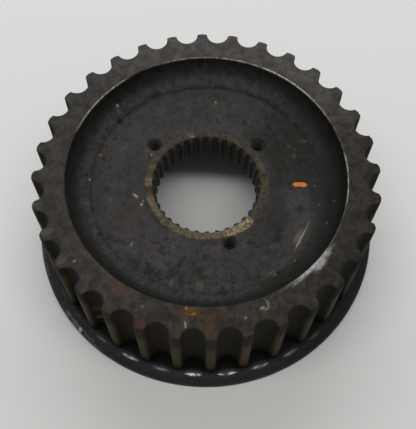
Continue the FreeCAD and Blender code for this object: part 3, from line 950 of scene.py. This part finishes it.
def hub_finish(sizes, colours):
    """Oily dark steel with pits and stains, a golden ring round the bore, scuffs and a chip of paint."""
    mouth = mounts["splined_shaft"]["dims"]["r_mm"] + sizes.bore_chamfer / MM
    steel = Finish("hub_steel", colours.hub, 0.55, 0.25)
    film_hub(steel, colours)
    pit_hub(steel, colours)
    joint_dirt(steel, colours.grime_and_shade)
    mottle = steel.grain(1.3, detail=3, seed=13, rough=0.7)
    fret_ring(steel, colours, mouth, mottle)
    soil_bore(steel, sizes, colours, mouth, mottle)
    soil_holes(steel, colours.grime_and_shade)
    scuff_hub(steel, colours)
    return steel.done(gloss=0.09)


def film_hub(steel, colours):
    """An oily film in cloudy patches, red brown here and green black there, and painted shade on one side.
    """
    hub, grime_and_shade = colours.hub, colours.grime_and_shade
    broad, patchy = steel.grain(9, detail=4, rough=0.6), steel.grain(2.6, detail=3, seed=1, rough=0.6)
    fine = steel.grain(0.8, detail=4, seed=4, rough=0.75)
    steel.layer(steel.step(broad, 0.42, 0.62) * 0.45, tinted(hub, 1.3, 1.27, 1.25), rough=0.5)
    steel.layer(steel.step(patchy, 0.52, 0.64) * 0.65, tinted(hub, 1.3, 1.02, 1.0))
    steel.layer(steel.step(patchy, 0.46, 0.34) * 0.65, tinted(hub, 0.62, 0.7, 0.58))
    steel.shade(0.84 + steel.blobs(4.2, 0.38, 0.22, detail=3, seed=45, rough=0.6) * 0.3)
    steel.layer(steel.blobs(1.8, 0.56, 0.12, seed=41) * 0.4, tinted(hub, 1.05, 1.2, 1.05))
    steel.layer(steel.spot(36, 211, 5.5, 6.5, HUB_FRONT, 0.8, 0.6) * 0.5, tinted(hub, 1.15, 0.95, 0.88))
    # painted shade: the web darker on its right side
    painted_shade_side = steel.around(0, 52, 14) * steel.step(steel.radius + broad * 8, 27, 34)
    steel.layer(painted_shade_side * 0.85, tinted(hub, 0.4, 0.39, 0.36))
    steel.layer(painted_shade_side * steel.blobs(1.2, 0.55, 0.12, seed=71) * 0.5, tinted(hub, 1.0, 0.94, 0.62))
    steel.layer(painted_shade_side * steel.blobs(1.7, 0.56, 0.1, seed=73) * 0.5, tinted(grime_and_shade, 1.1, 1.1, 1.35))
    steel.layer(steel.spot(31, 334, 5.5, 14, HUB_FRONT, 0.7, 0.7) * 0.6, tinted(hub, 0.5, 0.48, 0.42))
    steel.layer(steel.spot(34, 248, 5, 6, HUB_FRONT, 0.8, 0.7) * 0.45, tinted(hub, 1.6, 1.48, 1.36))
    steel.layer(steel.spot(39.5, 234, 3, 4, HUB_FRONT, 0.8, 0.7) * 0.3, tinted(hub, 1.6, 1.5, 1.4))
    steel.layer(steel.spot(39.5, 341, 5.5, 9.5, HUB_FRONT, 0.7, 0.8) * 0.36, tinted(hub, 2.1, 1.98, 2.02))
    for radius, angle, out, along, strength, level in (
            (36, 356, 4, 6, 0.5, 1.6), (43, 180, 3, 16, 0.4, 0.72), (44.5, 302, 2.6, 7, 0.4, 0.7),
            (29.5, 247, 3.2, 7, 0.5, 1.55), (46, 353, 2.6, 10, 0.7, 0.45),
            (44.5, 243, 2.4, 9, 0.5, 0.62), (45.5, 192, 3, 26, 0.4, 0.7), (35.2, 330, 2.2, 5, 0.6, 0.5),
            (40, 264, 4, 4, 0.35, 0.72)):
        tone = tinted(hub, level, level * 0.97, level * 0.94)
        steel.layer(steel.spot(radius, angle, out, along, HUB_FRONT, 0.8, 0.8) * strength, tone)
    for radius, angle, out, along in ((37.6, 325, 2.4, 3.6), (34.8, 338, 2.2, 3.8), (39.6, 346, 2.0, 2.6)):
        shadow = steel.spot(radius, angle, out, along, HUB_FRONT, 0.8, 0.9, -20)
        steel.layer(shadow * 0.36, tinted(hub, 0.3, 0.3, 0.28))
    steel.shade(0.22 + fine * 1.56)
    contrast = 0.5 + steel.around(222, 350, 16) * 1.3 + painted_shade_side * 1.3
    steel.shade(1.03 + (steel.grain(2.1, detail=4, seed=72, rough=0.75) - 0.5) * contrast)
    steel.layer(fine, height=0.9)


def pit_hub(steel, colours):
    """Pits, crowded on the low side, and dark stains."""
    low_side = steel.around(232, 300, 14) * steel.step(steel.radius, 27, 34)
    pits = steel.blobs(1.6, 0.66 - low_side * 0.06, 0.08, seed=30)
    stains = steel.blobs(3.0, 0.64 - low_side * 0.1, 0.12, seed=33) * 0.8
    for radius, angle, out, along in (
            (40.5, 188.5, 1.4, 1.6), (43.9, 220.5, 1.2, 0.8), (34.8, 227.5, 0.9, 0.7),
            (32.3, 239, 0.6, 0.9), (33.3, 244, 0.6, 0.7), (29.7, 241.5, 0.8, 1.0),
            (27.2, 281.3, 0.9, 0.8), (45.2, 235, 2.0, 2.4), (41.5, 255, 3.2, 1.4), (43.0, 261, 3.2, 1.2),
            (38.5, 269, 1.6, 2.2), (33.0, 273, 1.6, 1.5), (43.3, 143, 0.8, 0.9), (44.0, 155, 0.9, 0.9),
            (41.0, 173.7, 0.6, 1.1), (39.3, 347, 1.4, 1.6), (34.8, 34.8, 0.9, 0.9),
            (37.2, 49.6, 1.1, 1.1), (41.2, 55, 1.4, 0.8), (33.8, 65, 1.1, 1.1), (41.5, 19, 2.4, 1.4),
            (37.8, 322.5, 1.4, 1.8), (36.4, 329, 1.2, 1.4), (44.6, 248.5, 1.3, 0.8),
            (44.6, 262, 2.0, 0.8), (38.0, 270.5, 1.2, 1.6), (47.2, 282, 1.6, 1.0), (34.5, 0.5, 0.9, 0.7),
            (25.6, 74.3, 0.6, 0.9), (42.0, 87, 1.3, 0.5)):
        stains = stains | steel.spot(radius, angle, out, along, HUB_FRONT, 0.9, 0.6) * 0.8
    stains = stains | steel.spot(44.4, 169.2, 1.5, 0.6, HUB_FRONT, 0.5, 0.4, -41)
    steel.layer((pits | stains) * 0.7, tinted(colours.grime_and_shade, 1.1, 1.1, 1.35))
    steel.layer(pits, rough=0.65, height=-0.8)


def fret_ring(steel, colours, mouth, mottle):
    """The ring that the shaft nut has fretted golden, widest and brightest on one side."""
    grime_and_shade, brass = colours.grime_and_shade, colours.brass
    rag = steel.rag * 1.6 + steel.grain(3.4, seed=14) * 2.2 - 1.1
    outer = 25.1 + steel.around(292, 321, 2) * 0.6 + steel.around(309, 321, 4) * 0.4
    outer = outer - steel.around(326, 345, 2) * 0.9 + steel.around(352, 372, 5)
    ring = steel.step(steel.radius + rag - outer, 0.5, -0.5) * steel.step(steel.radius, mouth - 0.3, mouth)
    gold = steel.arcs(
        (178, 187, 2, 0.5), (198, 222, 5, 0.42), (220, 242, 6, 0.27), (240, 292, 5, 0.42),
        (290, 323, 1, 1.0), (322, 400, 6, 0.15), (395, 435, 6, 0.07), (72, 104, 4, 0.09),
        (106, 117, 1, 0.24), (118, 150, 4, 0.2), (148, 180, 3, 0.36))
    steel.layer(ring * (0.8 - steel.around(48, 140, 14) * 0.3), tinted(brass, 0.235, 0.25, 0.34), rough=0.6)
    steel.layer(ring * gold * steel.step(mottle, 0.3, 0.66), brass, rough=0.5, metal=0.3, height=-0.6)
    steel.layer(ring * steel.blobs(2.2, 0.52, 0.12, seed=21) * 0.5, tinted(brass, 0.42, 0.28, 0.32))
    cloudy = ring * steel.around(56, 172, 10) * steel.blobs(2.0, 0.44, 0.16, detail=3, seed=63)
    steel.layer(cloudy * 0.5, tinted(brass, 0.15, 0.16, 0.24))
    dim = ring * steel.around(325, 470, 6)
    steel.layer(dim * steel.blobs(1.7, 0.5, 0.12, detail=3, seed=61) * 0.6, tinted(brass, 0.5, 0.56, 0.46))
    steel.layer(dim * steel.blobs(1.5, 0.54, 0.1, detail=2, seed=62) * 0.7, grime_and_shade, height=-0.8)
    sparkle = ring * steel.around(325, 560, 8) * steel.blobs(1.1, 0.6, 0.08, seed=64)
    steel.layer(sparkle * 0.5, tinted(brass, 0.8, 0.86, 0.95))
    bright = steel.arcs(
        (179, 186, 2, 0.35), (200, 290, 4, 0.26), (294, 322, 1, 0.8), (383, 386, 2, 0.12),
        (107, 112, 1, 0.3), (163, 168, 1, 0.2))
    steel.layer(ring * bright * steel.blobs(1.5, 0.38, 0.28, detail=3, seed=27, rough=0.7),
                tinted(brass, 2.2, 2.35, 2.3), rough=0.5)
    rim_of_ring = steel.band(steel.radius + rag * 0.3, 25.9, 26.6, 0.4) * steel.around(205, 240, 6)
    steel.layer(rim_of_ring * 0.5, grime_and_shade)


def soil_bore(steel, sizes, colours, mouth, mottle):
    """Grey dirt inside the bore, with golden ends on the lands and dark mouths on the spline spaces."""
    grime_and_shade = colours.grime_and_shade
    inside = steel.step(steel.radius, mouth + 0.05, mouth - 0.2)
    steel.layer(inside * 0.92, tinted(grime_and_shade, 6.8, 6.7, 7.0), rough=0.5, metal=0.1)
    space = steel.step(abs(offset_from_nearest(steel, sizes.splines, sizes.spline_turn)), 1.35, 0.95)
    land_end = inside * steel.band(steel.z, HUB_FRONT - 1.4, HUB_FRONT + 1, 0.3) * steel.step(space, 1, 0)
    golden_end = land_end * steel.around(5, 190, 15) * steel.step(mottle, 0.34, 0.6)
    steel.layer(golden_end * 0.3, tinted(colours.brass, 0.4, 0.4, 0.44))
    space_mouth = space * steel.step(steel.radius, mouth + 0.75, mouth + 0.35)
    steel.layer(space_mouth * steel.around(20, 170, 12) * 0.22, grime_and_shade)


def soil_holes(steel, grime_and_shade):
    """Grey dirt inside the tapped holes."""
    for screw in lock_screws:
        centre = (screw["pos_m"][0] / MM, screw["pos_m"][1] / MM, 0)
        away = steel.node("VectorMath", {"operation": "DISTANCE"}, {0: steel.flat, 1: centre}, "Value")
        bore = screw["dims"]["r_mm"]
        thread = steel.step(away, bore + 0.75, bore + 0.6)
        thread = thread * steel.step(steel.z, HUB_FRONT - 0.6, HUB_FRONT - 0.8)
        hole = thread | steel.step(away, bore + 0.15, bore)
        steel.layer(hole, tinted(grime_and_shade, 12.0, 12.0, 12.8), rough=0.5, metal=0.0)


def scuff_hub(steel, colours):
    """Scuffs, flecks and a chip of orange paint in a patch of dirt."""
    worn_and_glint, rust, paint = colours.worn_and_glint, colours.rust, colours.paint
    tan, pale = tinted(worn_and_glint, 0.95, 0.8, 0.42), tinted(worn_and_glint, 0.8, 0.84, 0.84)
    cream = tinted(worn_and_glint, 0.9, 0.88, 0.68)
    for radius, angle, out, along, turn, colour, strength in (
            (29.4, 195.5, 0.5, 1.3, 38, tan, 0.85), (28.0, 204.6, 0.6, 0.6, 0, pale, 0.75),
            (27.0, 202.0, 0.5, 0.6, 0, pale, 0.35),
            (40.2, 227.0, 0.9, 0.4, 30, tinted(pale, 0.5, 0.55, 0.7), 0.7),
            (26.6, 153.6, 0.4, 0.7, 0, pale, 0.42), (28.1, 157.3, 0.4, 0.4, 0, pale, 0.2),
            (39.9, 88.4, 0.7, 0.5, 0, tinted(tan, 0.55, 0.7, 0.7), 0.7),
            (44.3, 2.4, 0.5, 0.6, 0, pale, 0.14),
            (46.1, 167.4, 0.85, 0.65, 0, tinted(rust, 1.1, 1.6, 1.9), 0.5),
            (38.0, 155.3, 0.4, 0.6, 0, pale, 0.1), (38.5, 158.3, 0.8, 0.7, 0, pale, 0.07),
            (44.9, 330.4, 0.42, 5.0, 5, cream, 0.62), (44.6, 338.6, 0.4, 2.6, 0, cream, 0.2),
            (43.4, 331, 0.8, 3.4, 0, cream, 0.17), (45.0, 257.0, 1.4, 0.6, 8, pale, 0.13),
            (44.4, 271.0, 2.2, 1.6, 20, tan, 0.07), (39.9, 195.2, 0.7, 1.3, 0, tan, 0.07),
            (46.8, 306.5, 0.6, 1.4, 0, tan, 0.13), (46.8, 352, 0.7, 0.4, 0, tan, 0.12),
            (39.0, 23.8, 0.9, 1.1, 30, tinted(tan, 0.5, 0.6, 0.6), 0.14),
            (45.8, 30.3, 1.5, 0.7, -20, tinted(tan, 0.5, 0.6, 0.7), 0.16),
            (39.0, 31.2, 0.7, 0.9, 0, tinted(tan, 0.6, 0.6, 0.7), 0.12),
            (40.6, 27.6, 0.6, 0.8, 0, pale, 0.06),
            (40.8, 47.6, 1.8, 0.8, 0, tinted(pale, 0.6, 0.7, 1.1), 0.04),
            (38.0, 55, 1.2, 1.0, 0, tinted(tan, 0.5, 0.6, 0.6), 0.09),
            (47.2, 43.4, 0.7, 0.6, 0, tinted(tan, 0.7, 0.7, 0.8), 0.16)):
        steel.layer(steel.spot(radius, angle, out, along, HUB_FRONT, 0.45, 0.4, turn) * strength, colour)
    steel.layer(steel.spot(38.0, 4.0, 3.9, 1.8, HUB_FRONT, 0.6, 0.5) * 0.6, colours.grime_and_shade)
    chip = steel.spot(37.3, 3.4, 1.85, 1.0, HUB_FRONT, 0.8, 0.14)
    chip = chip | steel.spot(39.5, 3.2, 1.75, 1.12, HUB_FRONT, 0.8, 0.14)
    steel.layer(chip, paint, rough=0.5, metal=0.0, height=2.0)
    steel.layer(chip * steel.step(steel.rag, 0.04, 0.12), tinted(paint, 0.6, 0.75, 0.8))


def weld_finish(colours):
    """Blue grey scale with brown heat tint."""
    scale = Finish("weld_metal", colours.weld, 0.5, 0.4)
    tint, fine = scale.grain(5, detail=3), scale.grain(0.6, detail=3, seed=2)
    scale.layer(scale.step(tint, 0.4, 0.65) * 0.7, tinted(colours.weld, 1.5, 1.05, 0.7))
    scale.shade(0.6 + fine * 0.8)
    scale.layer(fine, rough=0.65, height=0.8)
    return scale.done()


def flange_finish(rim, colours):
    """Black oxide, rubbed bright in a small lens beside each belt groove, the lenses brightest on the near
    side as a painted highlight, with dirt and painted shade behind the teeth.
    """
    black, worn_and_glint, grime_and_shade = colours.flange, colours.worn_and_glint, colours.grime_and_shade
    tip = tip_radius(rim) / MM
    oxide = Finish("flange_steel", black, 0.58, 0.15)
    broad, fine = oxide.grain(8, detail=4), oxide.grain(0.9, detail=3, seed=6, rough=0.65)
    oxide.shade(0.4 + fine * 1.2)
    oxide.layer(oxide.step(broad, 0.45, 0.7) * 0.5, tinted(black, 1.7, 1.7, 1.65))
    oxide.layer(oxide.blobs(1.4, 0.6, seed=15) * 0.4, tinted(black, 2.4, 2.5, 2.6))
    oxide.layer(fine, height=0.6)

    # the belt's edge rubs the flange only where the grooves let the belt reach it; the lenses and their
    # grey halos are brightest on the near side, which is a painted highlight
    across = abs(offset_from_nearest(oxide, rim.teeth))
    level = oxide.arcs(
        (231, 241, 1, 0.2), (242, 253, 1, 0.85), (253, 264, 1, 0.36), (265, 275, 1, 1.4),
        (276, 287, 1, 1.15), (287, 298, 1, 0.75), (299, 309, 1, 0.58), (310, 320, 4, 0.38),
        (-180, 180, 1, 0.08))
    patchy = oxide.grain(2.4, seed=17)
    lens = 0.5 - across ** 2 * 0.036  # half the lens's width, less away from the groove's middle
    away = abs(oxide.radius - tip - 0.9) + oxide.rag * 0.8
    upper = oxide.step(oxide.z, FLANGE_TOP - 2, FLANGE_TOP - 1.6)
    halo = oxide.step(abs(oxide.radius - tip - 0.1) - lens * 2.2, 1.2, -1.0)
    halo = halo * oxide.step(across, 4.6, 2.6) * upper
    # the flange darker behind the tooth tips, inside the grooves: partly dirt, partly painted shade
    behind = oxide.step(oxide.radius, tip + 0.2, tip - 1.2) * upper
    oxide.layer(behind * 0.92, tinted(grime_and_shade, 0.5, 0.5, 0.5), rough=0.7, metal=0.0)
    oxide.layer(halo * (0.3 + level * 0.7) * oxide.around(230, 310, 6) * (0.2 + patchy * 0.9),
                tinted(worn_and_glint, 0.17, 0.185, 0.19), rough=0.5, metal=0.4)
    # partly rubbed steel, partly a painted highlight
    bright = oxide.step(away - lens, 0.4, -0.4) * upper * level
    oxide.layer(bright * oxide.step(patchy, 0.28, 0.62), tinted(worn_and_glint, 1.5, 1.5, 1.4), rough=0.4, metal=0.8)
    scuff_light_and_shade_flange(oxide, colours, tip)
    return oxide.done(gloss=0.11)


def scuff_light_and_shade_flange(oxide, colours, tip):
    """Grey scuffs on the outer edge, partly a painted highlight, and painted shade on the right side."""
    worn_and_glint, grime_and_shade = colours.worn_and_glint, colours.grime_and_shade
    # grey scuffs on the left edge, partly a painted highlight
    edge = oxide.step(oxide.radius, tip + 2.6, tip + 3.6)
    scuffed_and_lit = oxide.blobs(2.4, 0.42, 0.18, detail=3, seed=23)
    scuffed_and_lit = scuffed_and_lit * oxide.arcs((190, 206, 6, 0.4), (218, 236, 3, 0.7))
    oxide.layer(edge * scuffed_and_lit, tinted(worn_and_glint, 0.38, 0.44, 0.46), rough=0.5)
    # painted shade: the flange darker on its right side
    oxide.layer(oxide.around(305, 368, 12) * 0.62, tinted(grime_and_shade, 0.6, 0.6, 0.65))
    # bright marks on the left edge: partly scuffs, partly a painted highlight
    for radius, angle, along, strength in (
            (73.9, 228, 0.9, 1.0), (73.7, 221, 1.6, 0.14), (73.6, 225, 1.8, 0.16)):
        rub_and_glint = oxide.spot(radius, angle, 0.9, along, 4.5, 0.5, 0.4)
        oxide.layer(rub_and_glint * strength, tinted(worn_and_glint, 1.3, 1.35, 1.4), rough=0.5)


def offset_from_nearest(finish, count, start=0.0):
    """Millimetres to the side of the nearest of a count of marks round the axle."""
    turn = finish.node("Math", {"operation": "ARCTAN2"}, {0: finish.y, 1: finish.x})
    turns = (turn - start) * (count / FULL_TURN)
    return (turns - round(turns)) * (FULL_TURN / count) * finish.radius


# ---------------------------------------------------------------- stage

def set_stage(settings, colours):
    """A pale floor, a long soft light overhead, a broad fill behind, even room light and the camera."""
    make_floor(settings, colours.floor)
    add_light(
        "strip_light", place=(0, -0.12, 1.0), size=(1.3, 0.2), power=settings.strip_power,
        colour=(1.0, 0.985, 0.96))
    add_light(
        "back_fill", place=(-0.1, 0.8, 0.65), size=(1.2, 0.7), power=settings.fill_power,
        colour=(0.97, 0.985, 1.0))
    light_room(settings, colours.floor)
    place_camera(settings)
    bpy.context.scene.view_settings.view_transform = "Standard"


def make_floor(settings, colour):
    """A pale paper floor that runs into a plain backdrop."""
    bpy.ops.object.select_all(action="DESELECT")
    bpy.ops.mesh.primitive_circle_add(vertices=96, radius=3, fill_type="NGON", location=(0, 0, 0))
    floor = bpy.context.object
    floor.name = "floor"
    paper = bpy.data.materials.new("pale_floor")
    floor.data.materials.append(paper)
    nodes = Nodes(paper)
    lit = nodes.node("BsdfPrincipled", {}, {
        "Base Color": with_alpha(colour), "Roughness": 0.85, "Specular IOR Level": 0.2})
    place = nodes.node("TexCoord", {}, {}, "Object")
    away = nodes.node("VectorMath", {"operation": "LENGTH"}, {0: place}, "Value")
    far = nodes.step(away, settings.floor_lit, settings.floor_plain)
    nodes.node("OutputMaterial", {}, {"Surface": nodes.backdrop("Emission", colour, far, lit)})
    floor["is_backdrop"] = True


def light_room(settings, colour):
    """Soft light from all round, in front of a backdrop of the given colour."""
    room = bpy.data.worlds.new("room")
    bpy.context.scene.world = room
    nodes = Nodes(room)
    light = nodes.node("Background", {}, {"Color": (0.98, 0.99, 1.0, 1), "Strength": settings.room})
    nodes.node("OutputWorld", {}, {"Surface": nodes.backdrop("Background", colour, 1, light)})


def place_camera(settings):
    """Puts up the camera and turns it to its aim."""
    camera = bpy.data.objects.new("camera", bpy.data.cameras.new("camera"))
    bpy.context.collection.objects.link(camera)
    camera.data.lens = settings.lens
    camera.data.sensor_width = 36
    camera.data.clip_start, camera.data.clip_end = 0.01, 20
    sight = Vector(settings.camera_aim) - Vector(settings.camera_place)
    aimed = sight.to_track_quat("-Z", "Y").to_matrix().to_4x4()
    roll = Matrix.Rotation(settings.camera_roll, 4, "Z")
    camera.matrix_world = Matrix.Translation(settings.camera_place) @ aimed @ roll
    bpy.context.scene.camera = camera


def add_light(name, place, size, power, colour):
    """A rectangular soft light that faces the pulley."""
    lamp = bpy.data.lights.new(name, "AREA")
    lamp.shape = "RECTANGLE"
    lamp.size, lamp.size_y = size
    lamp.energy, lamp.color = power, colour
    light = bpy.data.objects.new(name, lamp)
    bpy.context.collection.objects.link(light)
    light.location = place
    light.rotation_euler = (-Vector(place)).to_track_quat("-Z", "Y").to_euler()


# ---------------------------------------------------------------- operators, panel and run

class PULLEY_OT_toothed_rim(bpy.types.Operator):
    """Make the toothed rim"""
    bl_idname = "pulley.toothed_rim"
    bl_label = "Toothed rim"

    def execute(self, context):
        sizes, colours = context.scene.pulley_rim, context.scene.pulley_colours
        make_rim(sizes, rim_finish(sizes, colours))
        return {"FINISHED"}


class PULLEY_OT_splined_hub(bpy.types.Operator):
    """Make the splined hub with its three tapped holes"""
    bl_idname = "pulley.splined_hub"
    bl_label = "Splined hub"

    def execute(self, context):
        sizes, colours = context.scene.pulley_hub, context.scene.pulley_colours
        make_hub(sizes, hub_finish(sizes, colours))
        return {"FINISHED"}


class PULLEY_OT_hub_weld(bpy.types.Operator):
    """Make the weld bead behind the web"""
    bl_idname = "pulley.hub_weld"
    bl_label = "Hub weld"

    def execute(self, context):
        make_weld(context.scene.pulley_weld, weld_finish(context.scene.pulley_colours))
        return {"FINISHED"}


class PULLEY_OT_rear_flange(bpy.types.Operator):
    """Make the guide flange"""
    bl_idname = "pulley.rear_flange"
    bl_label = "Rear flange"

    def execute(self, context):
        rim, colours = context.scene.pulley_rim, context.scene.pulley_colours
        make_flange(rim, context.scene.pulley_flange, flange_finish(rim, colours))
        return {"FINISHED"}


class PULLEY_OT_stage(bpy.types.Operator):
    """Set up the floor, the lights and the camera"""
    bl_idname = "pulley.stage"
    bl_label = "Stage"

    def execute(self, context):
        set_stage(context.scene.pulley_stage, context.scene.pulley_colours)
        return {"FINISHED"}


class PULLEY_PT_panel(bpy.types.Panel):
    """Lists the pieces and their sizes"""
    bl_idname = "PULLEY_PT_panel"
    bl_label = "Timing belt pulley"
    bl_space_type = "VIEW_3D"
    bl_region_type = "UI"
    bl_category = "Pulley"

    def draw(self, context):
        for operator in OPERATORS:
            self.layout.operator(operator.bl_idname)
        for name in SETTINGS:
            group = getattr(context.scene, name)
            box = self.layout.box()
            for setting in group.bl_rna.properties:
                if setting.identifier not in ("rna_type", "name"):
                    box.prop(group, setting.identifier)


OPERATORS = (
    PULLEY_OT_toothed_rim, PULLEY_OT_splined_hub, PULLEY_OT_hub_weld, PULLEY_OT_rear_flange,
    PULLEY_OT_stage)
SETTINGS = {
    "pulley_rim": RimSizes, "pulley_hub": HubSizes, "pulley_weld": WeldSizes, "pulley_flange": FlangeSizes,
    "pulley_colours": Colours, "pulley_stage": StageSettings,
}


def register():
    """Makes the settings, operators and panel known to Blender."""
    for group in (*SETTINGS.values(), *OPERATORS, PULLEY_PT_panel):
        bpy.utils.register_class(group)
    for name, group in SETTINGS.items():
        setattr(bpy.types.Scene, name, PointerProperty(type=group))


def unregister():
    """Takes away what register added."""
    for name in SETTINGS:
        delattr(bpy.types.Scene, name)
    for group in (PULLEY_PT_panel, *reversed(OPERATORS), *reversed(SETTINGS.values())):
        bpy.utils.unregister_class(group)


def main():
    """Makes the pieces and the stage."""
    register()
    bpy.ops.pulley.toothed_rim()
    bpy.ops.pulley.splined_hub()
    bpy.ops.pulley.hub_weld()
    bpy.ops.pulley.rear_flange()
    bpy.ops.pulley.stage()
    low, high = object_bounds()
    {"cad": [list(cad_low), list(cad_high)], "visual": [list(low), list(high)]}


if __name__ == "__main__":
    main()
